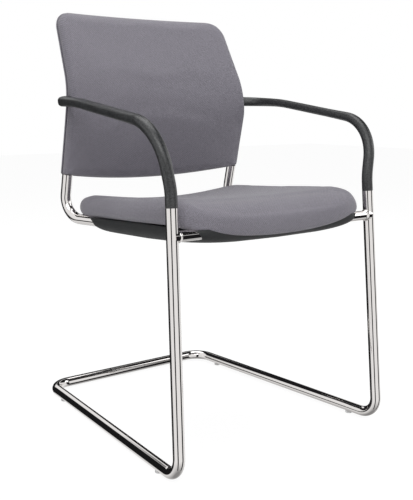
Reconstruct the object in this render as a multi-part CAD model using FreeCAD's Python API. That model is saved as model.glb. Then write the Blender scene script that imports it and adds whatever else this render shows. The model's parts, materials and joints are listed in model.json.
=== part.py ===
import FreeCAD, Part
import math
import os

# A cantilever visitor chair. Millimetres, +Z up, the chair faces -Y.
# The origin is on the floor, below the middle of the chair.

# Steel tubes
tube_od = 22.0
tube_wall = 2.0
cross_od = 20.0
weld_gap = 0.1

# Floor sled and front legs, on tube centre lines
glide_height = 3.0
foot_half_width = 256.0
rear_half_width = 216.0
sled_depth = 590.0
foot_bend = 38.0
rear_bend = 45.0
leg_lean = 0.076
leg_top_height = 494.0
leg_top_half_width = 244.5
cross_height = 445.0

# Floor glides
glide_radius = 7.0
glide_stem_radius = 3.0
glide_stem_reach = 5.0
front_glide_setback = 75.0
rear_glide_setback = 75.0
push_fit = 0.1

# Seat plane, rails and fixings
seat_tilt = 3.4
tab_thickness = 3.0
tab_length = 40.0
tab_reach = 34.0
front_tab_y = -185.0
rear_tab_y = -45.0
rail_front_half_width = 115.0
upright_half_width = 222.5
upright_bend = 42.0
rail_height = 429.0
rail_bend = 600.0
cross_bar_y = -90.0
cross_bar_width = 30.0
cross_bar_thickness = 6.0

# Seat pan
pan_thickness = 10.0
pan_half_width = 172.0
pan_front_y = -240.0
pan_rear_y = 142.0
pan_corner = 45.0

# Seat cushion
seat_half_width = 223.0
seat_front_y = -291.0
seat_rear_y = 170.0
seat_edge_height = 47.0
seat_dish = 17.0
seat_side_bulge = 15.0
seat_bulge_limit_share = 0.42
seat_nose_drop = 27.0
cover_thickness = 1.2
layer_gap = 0.3

# Under-shell
shell_wall = 2.5
shell_half_width = 212.0
shell_front_gap = 2.5
shell_rear_y = 88.0
shell_depth = 33.0
shell_front_depth = 39.0
shell_floor_inset = 34.0
shell_side_inset_share = 0.28
shell_side_drop_share = 0.62
shell_boss_radius = 6.0
shell_boss_x = 55.0
shell_boss_front_y = -130.0
shell_boss_rear_y = 50.0
notch_clearance = 1.5

# Backrest: outline, side profile and layers across its thickness
back_bottom = 503.0
back_bottom_rise = 18.5
back_top = 864.0
back_half_width = 234.0
back_taper_start = 650.0
back_taper = 0.085
back_corner = 34.0
back_sag = 28.0
lumbar_y = 127.0
lumbar_height = 688.6
lumbar_radius = 150.0
lower_lean = 13.5
upper_recline = 25.2
back_front_offset = -16.0
back_parting_offset = 6.0
back_rear_offset = 18.0
back_crown = 10.0
back_wrap = 6.0
back_edge_round = 16.0
back_front_round = 13.0
back_rear_round = 18.0
back_side_offset = -4.0
back_bottom_corner = 14.0
rear_panel_wall = 3.0
frame_plate_offset = -11.5
frame_plate_thickness = 4.0

# Back tubes in the back frame
upright_offset = 0.0
spigot_radius = 7.0
spigot_length = 95.0
spigot_clearance = 0.15
socket_wall = 1.8
upright_shoulder_height = 524.0

# Armrests
arm_half_width = 263.0
arm_height = 669.0
arm_rise = 0.138
arm_end_height = 677.0
arm_end_offset = 6.0
arm_pad_half_width = 12.0
arm_pad_half_height = 8.2
arm_end_half_width = 10.5
arm_end_half_height = 10.6
arm_straight = 30.0
arm_flare_bend = 150.0
arm_bend = 92.0
arm_crest_bend = 300.0
arm_section_step = 14.0
arm_turn = 60.0
core_radius = 6.0
core_clearance = 0.15
plug_length = 45.0
plug_clearance = 0.15
arm_socket_depth = 26.0
arm_socket_wall = 6.0
arm_boss_wall = 2.5

# Fasteners
seat_screw_radius = 3.0
seat_screw_head_radius = 5.5
seat_screw_head_height = 4.0
tee_nut_wall = 1.5
tee_flange_radius = 9.0
tee_flange_thickness = 1.2
shell_screw_radius = 2.0
shell_screw_head_radius = 4.0
shell_screw_head_height = 2.2
shell_screw_bite = 7.0
lock_screw_radius = 3.0
lock_screw_length = 11.0
arm_screw_radius = 2.5
arm_screw_head_radius = 4.5
arm_screw_head_height = 3.0
arm_screw_bite = 14.0
clip_radius = 4.5
clip_stem_reach = 12.0
clip_hole_reach = 44.0
clip_stem_radius = 2.5
clip_x = 120.0
clip_low = 580.0
clip_high = 780.0
screw_clearance = 0.2

# Values that follow from the sizes above
tube_radius = tube_od / 2
bore_radius = tube_radius - tube_wall
cross_radius = cross_od / 2
floor_z = glide_height + tube_radius
lean_angle = math.atan(leg_lean)
foot_turn = math.pi / 2 + lean_angle
rear_y = (sled_depth - foot_bend * (math.tan(foot_turn / 2) - 1)) / 2
front_y = rear_y - sled_depth
tilt = math.radians(seat_tilt)
X = FreeCAD.Vector(1, 0, 0)
Y = FreeCAD.Vector(0, 1, 0)
Z = FreeCAD.Vector(0, 0, 1)


def vec(x, y, z):
    return FreeCAD.Vector(x, y, z)


def unit(vector):
    return vector * (1.0 / vector.Length)


def mirrored(shape):
    """The same piece on the other side of the chair."""
    return shape.mirror(vec(0, 0, 0), X)


def both(shape):
    """A piece and its mirror image as one group of separate solids."""
    return Part.makeCompound([shape, mirrored(shape)])


def rod(start, end, radius):
    return Part.makeCylinder(radius, (end - start).Length, start, end - start)


def box(low, high):
    return Part.makeBox(high.x - low.x, high.y - low.y, high.z - low.z, low)


def fused(first, *others):
    return first.multiFuse(list(others)).removeSplitter()


def largest(shape):
    """The main piece of a shape whose cut-off ends are dropped."""
    return max(shape.Solids, key=lambda piece: piece.Volume)


def bent_edges(points, bends):
    """Straight runs through the points, with a tangent arc of each radius at the inner points."""
    edges = []
    start = points[0]
    for index, radius in enumerate(bends, 1):
        corner = points[index]
        back = unit(points[index - 1] - corner)
        ahead = unit(points[index + 1] - corner)
        half = back.getAngle(ahead) / 2
        first = corner + back * (radius / math.tan(half))
        last = corner + ahead * (radius / math.tan(half))
        middle = corner + unit(back + ahead) * (radius / math.sin(half) - radius)
        edges.append(Part.LineSegment(start, first).toShape())
        edges.append(Part.Arc(first, middle, last).toShape())
        start = last
    edges.append(Part.LineSegment(start, points[-1]).toShape())
    return edges


def swept(edges, radius):
    """A round bar along a path of lines and arcs."""
    start = edges[0].valueAt(edges[0].FirstParameter)
    heading = edges[0].tangentAt(edges[0].FirstParameter)
    ring = Part.Wire(Part.Circle(start, heading, radius).toShape())
    return Part.Wire(edges).makePipeShell([ring], True, False)


def arc(first, middle, last):
    return Part.Arc(first, middle, last).toShape()


# Places on the frame


def leg_axis(height):
    """Point on the left leg's centre line at a height."""
    share = (height - floor_z) / (leg_top_height - floor_z)
    x = foot_half_width + share * (leg_top_half_width - foot_half_width)
    return vec(x, front_y + leg_lean * (height - floor_z), height)


def runner_axis(distance):
    """Point on the left runner's centre line, a distance forward of the rear bar."""
    share = distance / sled_depth
    x = rear_half_width + share * (foot_half_width - rear_half_width)
    return vec(x, rear_y - distance, floor_z)


cross_axis = leg_axis(cross_height)
# The pan's underside lies one tab above the cross tube.
seat_height = cross_height + (cross_radius + tab_thickness) / math.cos(tilt) + cross_axis.y * math.tan(tilt)
rail_drop = -(tube_radius + tab_thickness)


def seat_point(x, y, z):
    """Point given in the tilted seat frame: z counts from the pan's underside."""
    height = seat_height - y * math.sin(tilt) + z * math.cos(tilt)
    return vec(x, y * math.cos(tilt) + z * math.sin(tilt), height)


def on_seat(shape):
    """A piece modelled in the seat frame, put in its place."""
    placed = shape.copy()
    placed.rotate(vec(0, 0, 0), X, -seat_tilt)
    placed.translate(vec(0, 0, seat_height))
    return placed


cross_seat_y = cross_axis.y * math.cos(tilt) - (cross_height - seat_height) * math.sin(tilt)
cross_seat_z = -(cross_radius + tab_thickness)


def upright_axis(height):
    """Point on the left upright's centre line at a height."""
    y = lumbar_y + upright_offset + math.tan(math.radians(lower_lean)) * (lumbar_height - height)
    return vec(upright_half_width, y, height)


upright_shoulder = upright_axis(upright_shoulder_height)
upright_way = unit(upright_axis(lumbar_height) - upright_axis(back_bottom))
spigot_top = upright_shoulder + upright_way * spigot_length
rail_rear = upright_axis(rail_height)
rail_rear_y = rail_rear.y * math.cos(tilt) - (rail_rear.z - seat_height) * math.sin(tilt)
rail_front = seat_point(rail_front_half_width, cross_seat_y, rail_drop)
# The rails run level from the uprights, then rise with the seat from this place on.
rail_knee_y = (seat_height + rail_drop * math.cos(tilt) - rail_height) / math.sin(tilt)


def rail_x(y):
    """Half-width of the rails' centre lines at a place along the seat."""
    share = (rail_rear_y - y) / (rail_rear_y - cross_seat_y)
    return upright_half_width + share * (rail_front_half_width - upright_half_width)


rail_knee = seat_point(rail_x(rail_knee_y), rail_knee_y, rail_drop)


# Steel frame


def glide_places():
    return [runner_axis(sled_depth - front_glide_setback), runner_axis(rear_glide_setback)]


def frame_edges():
    left = [leg_axis(leg_top_height), runner_axis(sled_depth), runner_axis(0)]
    right = [vec(-p.x, p.y, p.z) for p in reversed(left)]
    return bent_edges(left + right, [foot_bend, rear_bend, rear_bend, foot_bend])


def lock_screw_place():
    """Middle of the hole for the armrest's lock screw, on the leg's centre line."""
    return leg_axis(leg_top_height - plug_length / 2)


def frame_tube():
    """Rear bar, runners, foot bends and front legs: one bent tube with its drilled holes."""
    path = frame_edges()
    tube = swept(path, tube_radius).cut(swept(path, bore_radius))
    holes = []
    for place in glide_places():
        holes.append(rod(vec(place.x, place.y, 0), place, glide_stem_radius + push_fit))
    lock = lock_screw_place()
    holes.append(rod(lock, lock + Y * tube_od, lock_screw_radius + screw_clearance))
    return tube.cut(Part.makeCompound([both(hole) for hole in holes]))


def front_cross_tube():
    """Tube between the legs, with its ends shaped to the legs."""
    ends = vec(-cross_axis.x, cross_axis.y, cross_axis.z), cross_axis
    tube = rod(*ends, cross_radius).cut(rod(*ends, cross_radius - tube_wall))
    leg = rod(leg_axis(floor_z), leg_axis(leg_top_height), tube_radius + weld_gap)
    return tube.cut(both(leg))


def back_tube_edges(top):
    return bent_edges([top, rail_rear, rail_knee, rail_front], [upright_bend, rail_bend])


def back_tube():
    """Left upright with its reduced spigot, bent forward into the seat rail."""
    path = back_tube_edges(upright_shoulder)
    outer = fused(swept(path, tube_radius), rod(upright_shoulder, spigot_top, spigot_radius))
    long_path = back_tube_edges(spigot_top)
    bore = swept(path, bore_radius).fuse(swept(long_path, spigot_radius - tube_wall))
    across = rod(vec(-cross_axis.x, cross_axis.y, cross_axis.z), cross_axis, cross_radius + weld_gap)
    return largest(outer.cut(bore).cut(across).cut(back_lock_holes()))


def rear_cross_bar():
    """Flat bar between the rails, in the plane of their centre lines."""
    half = rail_x(cross_bar_y - cross_bar_width)
    low = vec(-half, cross_bar_y - cross_bar_width / 2, rail_drop - cross_bar_thickness / 2)
    high = vec(half, cross_bar_y + cross_bar_width / 2, rail_drop + cross_bar_thickness / 2)
    rail = rod(rail_knee, rail_front, tube_radius + weld_gap)
    return on_seat(box(low, high)).cut(both(rail))


def tab_holes():
    """Places of the left seat screws in the seat frame, one per tab."""
    return [vec(rail_x(y) - tab_reach + tab_thickness * 3, y, 0) for y in (front_tab_y, rear_tab_y)]


def seat_tabs():
    """Plates on top of the rails, each with the hole for a seat screw."""
    tabs = []
    for hole in tab_holes():
        outer = rail_x(hole.y) + tab_thickness
        low = vec(outer - tab_reach - tab_thickness, hole.y - tab_length / 2, -tab_thickness)
        plate = box(low, vec(outer, hole.y + tab_length / 2, 0))
        bolt = rod(hole - Z * 2 * tab_thickness, hole, seat_screw_radius + screw_clearance)
        tabs.append(both(plate.cut(bolt)))
    return on_seat(Part.makeCompound(tabs))


def glide(place):
    """Push-in glide: a saddle under the tube and a stem through the tube's wall."""
    base = vec(place.x, place.y, 0)
    pad = Part.makeCylinder(glide_radius, floor_z, base)
    pad = pad.cut(swept(frame_edges(), tube_radius))
    saddle = [solid for solid in pad.Solids if solid.BoundBox.ZMin < glide_height / 2][0]
    stem_top = vec(place.x, place.y, glide_height + tube_wall + glide_stem_reach)
    return fused(saddle, rod(base, stem_top, glide_stem_radius))


# Seat


def rounded_plate(half_width, low_y, high_y, corner, bottom, thickness):
    plate = box(vec(-half_width, low_y, bottom), vec(half_width, high_y, bottom + thickness))
    upright = [e for e in plate.Edges if abs(e.tangentAt(e.FirstParameter).z) > 0.5]
    return plate.makeFillet(corner, upright)


def pan_block(gap):
    """The seat pan's outline in the seat frame, grown by a gap."""
    low_y = pan_front_y - gap
    high_y = pan_rear_y + gap
    return rounded_plate(pan_half_width + gap, low_y, high_y, pan_corner + gap, -gap, pan_thickness + 2 * gap)


def shell_bosses():
    """Places of the left shell bosses in the seat frame."""
    return [vec(shell_boss_x, y, 0) for y in (shell_boss_front_y, shell_boss_rear_y)]


def seat_pan():
    """Plywood pan with holes for the tee nuts and for the shell's screws."""
    holes = []
    for hole in tab_holes():
        top = hole + Z * pan_thickness
        holes.append(rod(hole, top, seat_screw_radius + tee_nut_wall + push_fit))
        flange = top - Z * (tee_flange_thickness + push_fit)
        holes.append(rod(flange, top, tee_flange_radius + push_fit))
    for boss in shell_bosses():
        holes.append(rod(boss, boss + Z * shell_screw_bite, shell_screw_radius))
    return on_seat(pan_block(0).cut(Part.makeCompound([both(hole) for hole in holes])))


def tee_nuts():
    nuts = []
    for hole in tab_holes():
        top = hole + Z * pan_thickness
        barrel = rod(hole, top, seat_screw_radius + tee_nut_wall)
        flange = rod(top - Z * tee_flange_thickness, top, tee_flange_radius)
        nuts.append(both(fused(barrel, flange).cut(rod(hole, top, seat_screw_radius))))
    return on_seat(Part.makeCompound(nuts))


def seat_screws():
    """Screws up through the tabs into the tee nuts."""
    screws = []
    for hole in tab_holes():
        seat = hole - Z * tab_thickness
        head = rod(seat - Z * seat_screw_head_height, seat, seat_screw_head_radius)
        shank = rod(seat, hole + Z * (pan_thickness - tee_flange_thickness), seat_screw_radius)
        screws.append(both(fused(head, shank)))
    return on_seat(Part.makeCompound(screws))


def seat_section(y, half_width, bulge, top, dish, bottom, sag):
    """Cross-section of the cushion: dished top, plump sides, bottom that may hang in the middle."""
    inner = half_width - bulge
    middle = (top + bottom) / 2
    edges = [
        arc(vec(-inner, y, top), vec(0, y, top - dish), vec(inner, y, top)),
        arc(vec(inner, y, top), vec(half_width, y, middle), vec(inner, y, bottom)),
        arc(vec(inner, y, bottom), vec(0, y, bottom - sag), vec(-inner, y, bottom)),
        arc(vec(-inner, y, bottom), vec(-half_width, y, middle), vec(-inner, y, top)),
    ]
    return Part.Wire(edges)


def seat_cushion(inset):
    """Loft of the whole cushion along the seat, drawn in by an inset."""
    # Each row: place along the seat, share of the half-width, height of the top edge and of the bottom
    # edge as shares of the edge height and of the nose drop, share of the dish, share of the sag.
    length = seat_rear_y - seat_front_y
    rows = [
        (0.000, 0.700, 0.30, 0.42, 0.35, 0.55),
        (0.012, 0.800, 0.52, 0.52, 0.30, 0.60),
        (0.035, 0.905, 0.74, 0.55, 0.28, 0.55),
        (0.075, 0.962, 0.92, 0.40, 0.32, 0.38),
        (0.130, 0.985, 1.00, 0.16, 0.42, 0.16),
        (0.220, 0.997, 1.02, 0.02, 0.62, 0.06),
        (0.400, 1.000, 1.02, 0.00, 0.85, 0.05),
        (0.600, 0.995, 1.00, 0.00, 1.00, 0.05),
        (0.800, 0.975, 1.00, 0.00, 1.12, 0.05),
        (0.910, 0.945, 0.98, 0.00, 1.18, 0.05),
        (0.965, 0.895, 0.90, -0.06, 1.05, 0.05),
        (0.990, 0.815, 0.74, -0.24, 0.70, 0.05),
        (1.000, 0.720, 0.58, -0.40, 0.40, 0.05),
    ]
    wires = []
    for place, width, top, drop, dish, sag in rows:
        y = seat_front_y + inset + place * (length - 2 * inset)
        top_z = top * seat_edge_height - inset
        bottom_z = -drop * seat_nose_drop + inset
        bulge = min(seat_side_bulge, seat_bulge_limit_share * (top_z - bottom_z))
        half = width * seat_half_width - inset
        wires.append(seat_section(y, half, bulge, top_z, dish * seat_dish, bottom_z, sag * seat_nose_drop))
    return Part.makeLoft(wires, True, False)


def shell_section(y, half_width, rim, floor):
    """Cross-section of the under-shell's block: flat rim, curved sides, nearly flat floor."""
    low = half_width - shell_floor_inset
    side = vec(half_width - shell_floor_inset * shell_side_inset_share, y,
               rim + (floor - rim) * shell_side_drop_share)
    other = vec(-side.x, y, side.z)
    edges = [
        Part.LineSegment(vec(-half_width, y, rim), vec(half_width, y, rim)).toShape(),
        arc(vec(half_width, y, rim), side, vec(low, y, floor)),
        Part.LineSegment(vec(low, y, floor), vec(-low, y, floor)).toShape(),
        arc(vec(-low, y, floor), other, vec(-half_width, y, rim)),
    ]
    return Part.Wire(edges)


def shell_front_y():
    """Outer face of the shell's front wall, ahead of the cross tube."""
    return cross_seat_y - cross_radius - shell_front_gap - shell_wall


def shell_block(inset, rim):
    """The under-shell's outer form, drawn in by an inset, with its rim at a height."""
    front = shell_front_y() + inset
    rear = shell_rear_y - inset
    rows = [
        (0.00, 0.86, 0.55),
        (0.03, 0.93, 0.86),
        (0.10, 0.975, 1.00),
        (0.35, 1.00, 1.00),
        (0.75, 1.00, 1.00),
        (0.93, 0.99, 0.99),
        (1.00, 0.975, 0.80),
    ]
    wires = []
    for place, width, depth in rows:
        y = front + place * (rear - front)
        floor = -depth * (shell_front_depth + place * (shell_depth - shell_front_depth)) + inset
        wires.append(shell_section(y, width * shell_half_width - inset, rim, floor))
    return Part.makeLoft(wires, True, True)


def slot(start, end, radius):
    """A round-bottomed slot along a level line in the seat frame, open to the top."""
    along = end - start
    side = unit(vec(-along.y, along.x, 0)) * radius
    corners = [start + side, start - side, end - side, end + side, start + side]
    cheek = Part.Face(Part.makePolygon(corners)).extrude(Z * (radius - start.z))
    return rod(start, end, radius).fuse(cheek)


def seat_shell():
    """Black shell under the seat, slotted for the tubes, with bosses up to the pan."""
    shell = shell_block(0, -layer_gap).cut(shell_block(shell_wall, shell_wall))
    floor = -(shell_front_depth + shell_depth) / 2
    for boss in shell_bosses():
        post = rod(vec(boss.x, boss.y, floor), boss, shell_boss_radius)
        post = post.common(shell_block(0, shell_wall))
        shell = shell.fuse(both(post))
    tools = []
    for boss in shell_bosses():
        under = shell_screw_seat(boss)
        below = vec(boss.x, boss.y, 2 * floor)
        tools.append(both(rod(below, under, shell_screw_head_radius + screw_clearance)))
        tools.append(both(rod(under, boss, shell_screw_radius + screw_clearance)))
    reach = cross_axis.x
    level = vec(0, cross_seat_y, cross_seat_z)
    tools.append(both(slot(level + X * pan_half_width, level + X * reach, cross_radius + notch_clearance)))
    shell = on_seat(shell.cut(Part.makeCompound(tools)).removeSplitter())
    return shell.cut(both(rail_room()))


def shell_screw_seat(boss):
    """Where a shell screw's head bears inside its boss."""
    return boss - Z * (shell_depth - shell_wall * 2 - shell_screw_head_height)


def shell_screws():
    screws = []
    for boss in shell_bosses():
        under = shell_screw_seat(boss)
        head = rod(under - Z * shell_screw_head_height, under, shell_screw_head_radius)
        shank = rod(under, boss + Z * shell_screw_bite, shell_screw_radius)
        screws.append(both(fused(head, shank)))
    return on_seat(Part.makeCompound(screws))


def rail_room():
    """Room for the left rail, open to the side that the seat is put on from."""
    path = back_tube_edges(upright_shoulder)
    return swept(path, tube_radius + notch_clearance)


def below_cushion():
    """What the cushion leaves free: the pan and the shell below it."""
    under = shell_block(-layer_gap, layer_gap)
    return pan_block(layer_gap).fuse(under)


def seat_cover():
    """Fabric cover, open where the pan, the shell and the rails come in from below."""
    skin = seat_cushion(0).cut(seat_cushion(cover_thickness))
    return on_seat(skin.cut(below_cushion())).cut(both(rail_room()))


def seat_foam():
    foam = seat_cushion(cover_thickness + layer_gap).cut(below_cushion())
    return on_seat(foam).cut(both(rail_room()))


# Backrest


def back_edge_y(height):
    """Middle of the backrest's thickness at its side edges: two straight runs and a lumbar arc."""
    low = math.radians(lower_lean)
    high = math.radians(upper_recline)
    half = (low + high) / 2
    reach = lumbar_radius * math.tan(half)
    bisector = unit(vec(0, math.sin(low) + math.sin(high), math.cos(high) - math.cos(low)))
    centre = vec(0, lumbar_y, lumbar_height) + bisector * (lumbar_radius / math.cos(half))
    if height < lumbar_height - reach * math.cos(low):
        return lumbar_y + math.tan(low) * (lumbar_height - height)
    if height > lumbar_height + reach * math.cos(high):
        return lumbar_y + math.tan(high) * (height - lumbar_height)
    return centre.y - math.sqrt(lumbar_radius ** 2 - (height - centre.z) ** 2)


def back_width(height):
    """Half-width of the backrest's outline at a height, without its rounded ends."""
    return back_half_width - back_taper * max(0.0, height - back_taper_start)


def back_slices(inset):
    """Edge height, half-width, share of the thickness and tilt of the slices, from bottom to top."""
    lean = math.tan(math.radians(lower_lean))
    bottom = back_bottom + back_bottom_rise + inset
    high = back_top - back_corner
    round_over = back_edge_round - inset
    # A slice tilted this much has its middle lower than its sides by the rise of the bottom edge.
    full_tilt = -back_bottom_rise / (back_sag + lean * back_bottom_rise)
    level = lumbar_height - lumbar_radius * math.tan(math.radians(lower_lean + upper_recline) / 2)
    slices = []
    for degrees in (20, 40, 62, 90):
        turn = math.radians(degrees)
        height = bottom + round_over * (1 - math.cos(turn))
        half = back_width(height) - inset - (back_bottom_corner - inset) * (1 - math.sin(turn))
        slices.append((height, half, math.sin(turn), full_tilt * tilt_fade(height, bottom, level)))
    low = bottom + round_over
    count = 9
    for step in range(1, count):
        height = low + (high - low) * step / (count - 1)
        slices.append((height, back_width(height) - inset, 1.0, full_tilt * tilt_fade(height, bottom, level)))
    for degrees in (28, 50, 68, 82):
        turn = math.radians(degrees)
        height = high + (back_corner - inset) * math.sin(turn)
        half = back_width(height) - inset - (back_corner - inset) * (1 - math.cos(turn))
        drop = min(1.0, (back_top - inset - height) / round_over)
        slices.append((height, half, math.sqrt(1 - (1 - drop) ** 2), 0.0))
    return slices


def tilt_fade(height, bottom, level):
    """Share of the bottom edge's tilt that is left at a height."""
    return max(0.0, 1 - (height - bottom) / (level - bottom)) ** 2


def lens(height, half, tilt_now, front, rear, crown):
    """Plane slice of the backrest: hollow in plan, rounded at its sides."""
    lean = math.tan(math.radians(lower_lean))
    edge = back_edge_y(height)

    def point(x, offset):
        hollow = back_sag * (1 - (x / back_half_width) ** 2)
        depth = (offset + hollow) / (1 + lean * tilt_now)
        return vec(x, edge + depth, height + tilt_now * depth)

    thick = min(1.0, (rear - front) / (back_rear_offset - back_front_offset))
    near = half - back_front_round * thick
    far = half - back_rear_round * thick
    side = back_side_offset * thick
    edges = [
        arc(point(-near, front), point(0, front - crown), point(near, front)),
        arc(point(near, front), point(half, side), point(far, rear)),
        arc(point(far, rear), point(0, rear), point(-far, rear)),
        arc(point(-far, rear), point(-half, side), point(-near, front)),
    ]
    return Part.Wire(edges)


def back_body(inset, front, rear, crown):
    """Loft of the backrest between two offsets from the middle of its thickness."""
    wires = []
    for height, half, thick, tilt_now in back_slices(inset):
        wires.append(lens(height, half, tilt_now, front * thick, rear * thick, crown * thick))
    return Part.makeLoft(wires, True, False)


def back_envelope(gap):
    return back_body(-gap, back_front_offset - gap, back_rear_offset + gap, back_crown)


def back_core(inset):
    """The backrest's form drawn in all round."""
    return back_body(inset, back_front_offset + inset, back_rear_offset - inset, back_crown)


def back_cavity():
    """The room inside the upholstery for the back frame."""
    return back_body(back_wrap, frame_plate_offset - layer_gap, back_rear_offset - rear_panel_wall, 0.0)


def front_of(offset):
    """Everything in front of the hollow surface at an offset from the middle of the thickness."""
    reach = 2 * back_wrap
    wires = []
    for height in front_levels():
        half = back_half_width + reach
        edge = back_edge_y(height)
        hollow = back_sag * (1 - (half / back_half_width) ** 2)
        rear = edge + offset
        front = edge - 2 * back_sag + 2 * back_front_offset
        left = vec(half, rear + hollow, height)
        right = vec(-half, rear + hollow, height)
        edges = [
            arc(left, vec(0, rear + back_sag, height), right),
            Part.LineSegment(right, vec(-half, front, height)).toShape(),
            Part.LineSegment(vec(-half, front, height), vec(half, front, height)).toShape(),
            Part.LineSegment(vec(half, front, height), left).toShape(),
        ]
        wires.append(Part.Wire(edges))
    return Part.makeLoft(wires, True, False)


def front_levels():
    """Heights for the parting surface, past both ends of the backrest."""
    low = back_bottom - 2 * back_wrap
    high = back_top + 2 * back_wrap
    count = 12
    return [low + (high - low) * step / count for step in range(count + 1)]


def back_openings():
    """Where the uprights and the armrests' cores come into the backrest."""
    low = upright_shoulder - upright_way * (spigot_length / 2)
    tube = rod(low, upright_shoulder + upright_way * layer_gap, tube_radius + screw_clearance)
    socket = rod(low, spigot_top + upright_way * (socket_wall + layer_gap), socket_radius() + layer_gap)
    core = swept(arm_edges(), core_radius + screw_clearance)
    return Part.makeCompound([both(tube), both(socket), both(core), both(boss_block(layer_gap))])


def back_cover():
    """Fabric over the front and the sides of the backrest."""
    skin = back_envelope(0).cut(back_core(cover_thickness))
    return skin.common(front_of(back_parting_offset)).cut(back_cavity()).cut(back_openings())


def back_foam():
    foam = back_core(cover_thickness + layer_gap).common(front_of(back_parting_offset))
    return foam.cut(back_cavity()).cut(back_openings())


def back_rear_panel():
    """Upholstered panel that closes the backrest from behind."""
    panel = back_envelope(0).cut(front_of(back_parting_offset + layer_gap))
    return panel.cut(back_cavity()).cut(back_openings())


def socket_radius():
    return spigot_radius + spigot_clearance + socket_wall


def back_lock_places():
    """Places on the left spigot's centre line where a lock screw holds it."""
    return [upright_shoulder + upright_way * (spigot_length * share) for share in (0.35, 0.75)]


def lock_way():
    """Square to the upright, towards the rear of the backrest."""
    return unit(X.cross(upright_way)) * -1.0


def back_lock_screws():
    """Grub screws through the sockets into the spigots."""
    screws = []
    for place in back_lock_places():
        outer = place + lock_way() * socket_radius()
        screws.append(both(rod(outer - lock_way() * lock_screw_length, outer, lock_screw_radius)))
    return Part.makeCompound(screws)


def back_lock_holes():
    """The holes for those screws, in the spigot and in the socket."""
    holes = []
    for place in back_lock_places():
        outer = place + lock_way() * (socket_radius() + layer_gap)
        holes.append(rod(outer - lock_way() * (lock_screw_length + layer_gap * 2), outer, lock_screw_radius))
    return Part.makeCompound(holes)


def clip_places():
    return [(clip_x, clip_low), (clip_x, clip_high)]


def back_offset_y(x, height, offset):
    """A place at an offset from the middle of the thickness, at a distance from the centre."""
    sag = back_sag * (1 - (x / back_half_width) ** 2)
    return back_edge_y(height) + sag + offset


def rear_panel_clips():
    """Push-in clips from the rear panel to the frame's plate."""
    clips = []
    for x, height in clip_places():
        plate = back_offset_y(x, height, frame_plate_offset + frame_plate_thickness)
        panel = back_offset_y(x, height, back_rear_offset)
        body = rod(vec(x, plate - clip_radius, height), vec(x, panel, height), clip_radius)
        body = body.common(back_cavity()).cut(frame_plate())
        stem_end = vec(x, plate - clip_stem_reach, height)
        stem = rod(stem_end, vec(x, plate + clip_radius, height), clip_stem_radius)
        stem = stem.common(back_cavity())
        clips.append(both(fused(body.Solids[0], stem)))
    return Part.makeCompound(clips)


def frame_plate():
    """Curved plate that carries the front cushion."""
    cavity = back_body(back_wrap + layer_gap, frame_plate_offset, back_rear_offset - rear_panel_wall, 0.0)
    return cavity.common(front_of(frame_plate_offset + frame_plate_thickness))


def boss_outer_x():
    """The core runs straight from here inwards."""
    return arm_half_width - arm_turn


def boss_inner_x():
    return boss_outer_x() - arm_socket_depth - arm_socket_wall


def boss_block(gap):
    """The left boss for the armrest's core, grown by a gap."""
    end = arm_end()
    floor = vec(boss_inner_x() - gap, end.y, end.z)
    mouth = vec(boss_outer_x() + gap, end.y, end.z)
    return rod(floor, mouth, core_radius + core_clearance + arm_boss_wall + gap)


def back_frame():
    """Moulded frame: a plate with sockets for the uprights and for the armrests' cores."""
    end = arm_end()
    socket = rod(upright_shoulder, spigot_top + upright_way * socket_wall, socket_radius())
    floor = vec(boss_inner_x(), end.y, end.z)
    body = fused(frame_plate(), both(socket), both(boss_block(0)))
    spigot = rod(upright_shoulder - upright_way, spigot_top, spigot_radius + spigot_clearance)
    core_start = floor + X * arm_socket_wall
    core_hole = rod(core_start, vec(arm_half_width, end.y, end.z), core_radius + core_clearance)
    screw_hole = rod(floor, floor + X * arm_socket_wall, arm_screw_radius + screw_clearance)
    clip_holes = []
    for x, height in clip_places():
        y = back_offset_y(x, height, 0)
        clip_holes.append(both(rod(vec(x, y - clip_hole_reach, height), vec(x, y, height), clip_stem_radius)))
    head_low = floor - X * (arm_screw_head_height + screw_clearance)
    head_room = rod(head_low, floor, arm_screw_head_radius + screw_clearance)
    tools = [both(spigot), both(core_hole), both(screw_hole), both(head_room), both(back_lock_holes())]
    tools += clip_holes
    return body.cut(Part.makeCompound(tools)).removeSplitter()


# Armrests


def arm_end():
    """Corner of the armrest's centre line where it turns in to the backrest."""
    return vec(arm_half_width, back_edge_y(arm_end_height) + arm_end_offset, arm_end_height)


def arm_points():
    """Corners of the armrest's centre line, from the top of the leg to inside the back frame."""
    knee_y = (front_y + leg_lean * (arm_height - floor_z)) / (1 - leg_lean * arm_rise)
    knee = vec(arm_half_width, knee_y, arm_height + arm_rise * knee_y)
    crest = vec(arm_half_width, (arm_end_height - arm_height) / arm_rise, arm_end_height)
    end = arm_end()
    tip = vec(boss_inner_x() + arm_socket_wall, end.y, end.z)
    return [leg_axis(leg_top_height), leg_axis(leg_top_height + arm_straight), knee, crest, end, tip]


def arm_edges():
    return bent_edges(arm_points(), [arm_flare_bend, arm_bend, arm_crest_bend, arm_turn])


def arm_core():
    """Steel core of the left armrest with the plug that fits the leg's bore."""
    core = swept(arm_edges(), core_radius)
    bottom = leg_axis(leg_top_height - plug_length)
    plug = rod(bottom, leg_axis(leg_top_height), bore_radius - plug_clearance)
    tip = arm_points()[-1]
    tapped = rod(tip, tip + X * arm_screw_bite, arm_screw_radius)
    lock = lock_screw_place()
    threaded = rod(lock, lock + Y * tube_od, lock_screw_radius)
    return fused(plug, core).cut(tapped).cut(threaded)


def oval(centre, heading, side, half_width, half_height):
    """Four arcs through eight points of an ellipse square to a heading."""
    up = heading.cross(side)
    points = []
    for step in range(8):
        turn = math.radians(45 * step + 45)
        points.append(centre + side * (half_width * math.cos(turn)) + up * (half_height * math.sin(turn)))
    edges = [arc(points[k], points[k + 1], points[(k + 2) % 8]) for k in (0, 2, 4, 6)]
    return Part.Wire(edges)


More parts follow.
